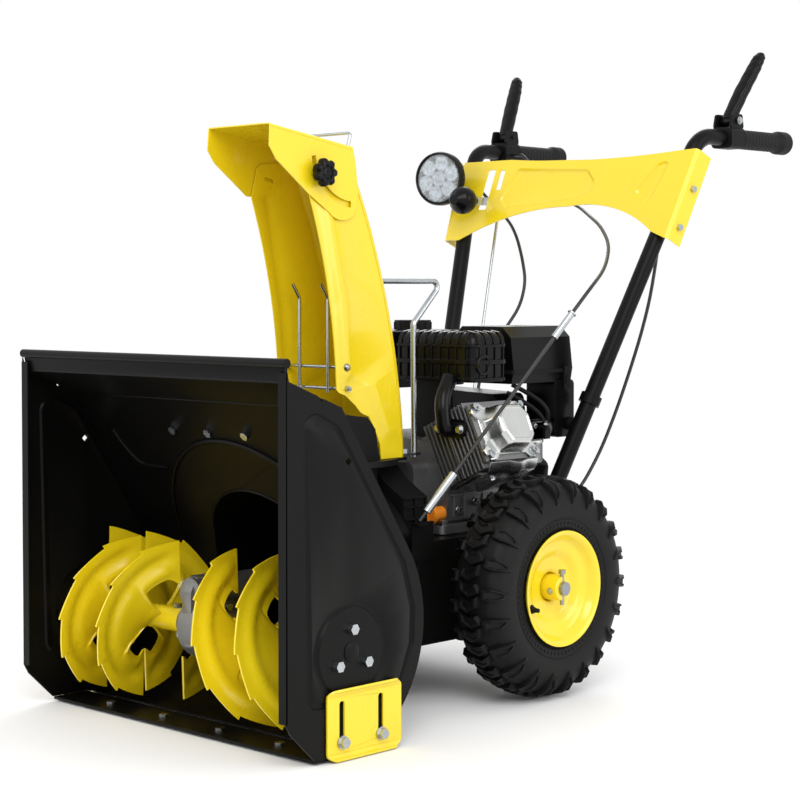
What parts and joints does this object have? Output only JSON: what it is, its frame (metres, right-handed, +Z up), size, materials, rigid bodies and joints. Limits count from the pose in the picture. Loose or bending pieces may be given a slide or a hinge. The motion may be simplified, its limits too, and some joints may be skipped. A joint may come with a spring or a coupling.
{
  "type": "two stage snowblower",
  "caption": "Walk-behind two stage snowblower: auger housing, impeller, turning chute with tilting hood, engine, two wheels and handlebars with clutch levers.",
  "frame": {"origin": "on the ground under the middle of the machine's bounding box", "axes": "+Z up, -Y towards the auger housing, +Y towards the operator, +X the side with the cylinder head"},
  "size_m": [0.5854, 1.192, 0.9932],
  "materials": {
    "yellow_paint": "gloss powder coat",
    "black_paint": "satin powder coat",
    "black_gloss": "moulded gloss",
    "black_matte": "moulded fine grain",
    "zinc": "bright zinc plate",
    "steel": "machined",
    "cast_aluminium": "as cast",
    "bright_aluminium": "pressed and polished",
    "grip_rubber": "moulded rubber",
    "cable_sheath": "smooth sheath",
    "belt_rubber": "fabric wrapped",
    "tyre": "block tread",
    "orange_plastic": "moulded",
    "lens": "clear faceted"
  },
  "bodies": {
    "chassis": {"control_panel": "yellow_paint", "housing_shell": "black_paint", "side_plates": "black_paint", "scraper_bar": "black_paint", "impeller_drum": "black_paint", "frame_box": "black_paint", "frame_cover": "black_paint", "brackets": "black_paint", "handlebars": "black_paint", "muffler": "black_gloss", "muffler_guard": "black_gloss", "air_box": "black_gloss", "fan_shroud": "black_gloss", "recoil_starter": "black_gloss", "fuel_tank": "black_gloss", "belt_cover": "black_matte", "lever_brackets": "black_matte", "fasteners": "zinc", "bearings": "steel", "gearbox_housing": "cast_aluminium", "engine_block": "cast_aluminium", "cylinder_head": "cast_aluminium", "carburettor": "cast_aluminium", "valve_cover": "bright_aluminium", "cylinder_shroud": "bright_aluminium", "grips": "grip_rubber", "control_cables": "cable_sheath", "headlight_lead": "cable_sheath", "drive_belts": "belt_rubber"},
    "auger": {"auger_shaft": "steel", "augers": "yellow_paint"},
    "impeller": {"impeller_shaft": "steel", "impeller": "black_paint"},
    "crankshaft": {"engine_pulley": "steel"},
    "friction_disc": {"friction_disc": "steel"},
    "axle": {"axle": "steel", "rims": "yellow_paint", "tyres": "tyre"},
    "drive_shaft": {"drive_shaft": "steel"},
    "friction_wheel": {"friction_wheel": "grip_rubber"},
    "skid_left": {"skid_shoe_left": "yellow_paint"},
    "skid_right": {"skid_shoe_right": "yellow_paint"},
    "chute": {"chute": "yellow_paint", "chute_base": "black_matte", "chute_guard": "zinc", "turning_handle": "zinc"},
    "deflector": {"deflector": "yellow_paint", "deflector_bail": "zinc"},
    "deflector_knob": {"deflector_knob": "black_gloss"},
    "clutch_lever_left": {"clutch_lever_left": "black_gloss"},
    "clutch_lever_right": {"clutch_lever_right": "black_gloss"},
    "shift_lever": {"shift_lever": "zinc", "shift_knob": "black_gloss"},
    "shift_rod": {"shift_rod": "zinc"},
    "headlight": {"headlight": "black_gloss", "headlight_lens": "lens"},
    "fuel_cap": {"fuel_cap": "black_matte"},
    "oil_cap": {"oil_cap": "orange_plastic"},
    "choke": {"choke_knob": "black_matte"},
    "starter": {"starter_grip": "black_matte"}
  },
  "joints": [
    {"name": "auger_spin", "type": "hinge", "parent": "chassis", "child": "auger", "pos_m": [0, -0.4775, 0.137], "axis": [1, 0, 0], "continuous": true},
    {"name": "impeller_spin", "type": "hinge", "parent": "chassis", "child": "impeller", "pos_m": [0, -0.27, 0.185], "axis": [0, 1, 0], "continuous": true},
    {"name": "crankshaft_spin", "type": "hinge", "parent": "chassis", "child": "crankshaft", "pos_m": [0, -0.15, 0.317], "axis": [0, 1, 0], "continuous": true},
    {"name": "friction_disc_spin", "type": "hinge", "parent": "chassis", "child": "friction_disc", "pos_m": [0, -0.13, 0.165], "axis": [0, 1, 0], "continuous": true},
    {"name": "axle_spin", "type": "hinge", "parent": "chassis", "child": "axle", "pos_m": [0, -0.018, 0.165], "axis": [1, 0, 0], "continuous": true},
    {"name": "drive_shaft_spin", "type": "hinge", "parent": "chassis", "child": "drive_shaft", "pos_m": [0, -0.07, 0.165], "axis": [1, 0, 0], "continuous": true},
    {"name": "friction_wheel_slide", "type": "slide", "parent": "drive_shaft", "child": "friction_wheel", "axis": [1, 0, 0], "range_m": [0, 0.0501]},
    {"name": "shift_lever_tilt", "type": "hinge", "parent": "chassis", "child": "shift_lever", "pos_m": [-0.168, 0.372, 0.757], "axis": [-1, 0, 0], "range_deg": [0, 34]},
    {"name": "shift_rod_slide", "type": "slide", "parent": "chassis", "child": "shift_rod", "axis": [0, 0, 1], "range_m": [0, 0.0181]},
    {"name": "chute_turn", "type": "hinge", "parent": "chassis", "child": "chute", "pos_m": [0, -0.225, 0.352], "axis": [0, 0, 1], "range_deg": [-90, 90]},
    {"name": "deflector_tilt", "type": "hinge", "parent": "chute", "child": "deflector", "pos_m": [0, -0.262, 0.803], "axis": [-1, 0, 0], "range_deg": [-15, 55]},
    {"name": "deflector_knob_turn", "type": "hinge", "parent": "chute", "child": "deflector_knob", "pos_m": [0.07, -0.33067, 0.76816], "axis": [1, 0, 0], "continuous": true},
    {"name": "clutch_lever_right_press", "type": "hinge", "parent": "chassis", "child": "clutch_lever_right", "pos_m": [0.2397, 0.432, 0.879], "axis": [-1, 0, 0], "range_deg": [0, 60], "stiffness_Nm_per_rad": 1.2, "springref_deg": -20.05},
    {"name": "clutch_lever_left_press", "type": "hinge", "parent": "chassis", "child": "clutch_lever_left", "pos_m": [-0.2397, 0.432, 0.879], "axis": [-1, 0, 0], "range_deg": [0, 60], "stiffness_Nm_per_rad": 1.2, "springref_deg": -20.05},
    {"name": "headlight_tilt", "type": "hinge", "parent": "chassis", "child": "headlight", "pos_m": [-0.2504, 0.30391, 0.798], "axis": [0.9781, 0.2079, 0], "range_deg": [-12, 12]},
    {"name": "fuel_cap_turn", "type": "hinge", "parent": "chassis", "child": "fuel_cap", "pos_m": [-0.062, 0, 0.545], "axis": [0, 0, 1], "range_deg": [0, 90]},
    {"name": "oil_cap_turn", "type": "hinge", "parent": "chassis", "child": "oil_cap", "pos_m": [0.084, -0.11, 0.268], "axis": [0, 1, 0], "range_deg": [0, 180]},
    {"name": "choke_turn", "type": "hinge", "parent": "chassis", "child": "choke", "pos_m": [0.14, 0.08, 0.391], "axis": [1, 0, 0], "range_deg": [0, 60]},
    {"name": "starter_pull", "type": "slide", "parent": "chassis", "child": "starter", "axis": [0, 1, 0], "range_m": [0, 0.08], "stiffness_N_per_m": 30, "springref_m": -0.1},
    {"name": "skid_left_slide", "type": "slide", "parent": "chassis", "child": "skid_left", "axis": [0, 0, -1], "range_m": [0, 0.045]},
    {"name": "skid_right_slide", "type": "slide", "parent": "chassis", "child": "skid_right", "axis": [0, 0, -1], "range_m": [0, 0.045]}
  ],
  "couplings": [
    {"joint": "impeller_spin", "follows": "auger_spin", "ratio": 10},
    {"joint": "drive_shaft_spin", "follows": "axle_spin", "ratio": -4.2},
    {"joint": "friction_wheel_slide", "follows": "shift_lever_tilt", "m_per_rad": 0.084258},
    {"joint": "shift_rod_slide", "follows": "shift_lever_tilt", "m_per_rad": 0.030333}
  ]
}
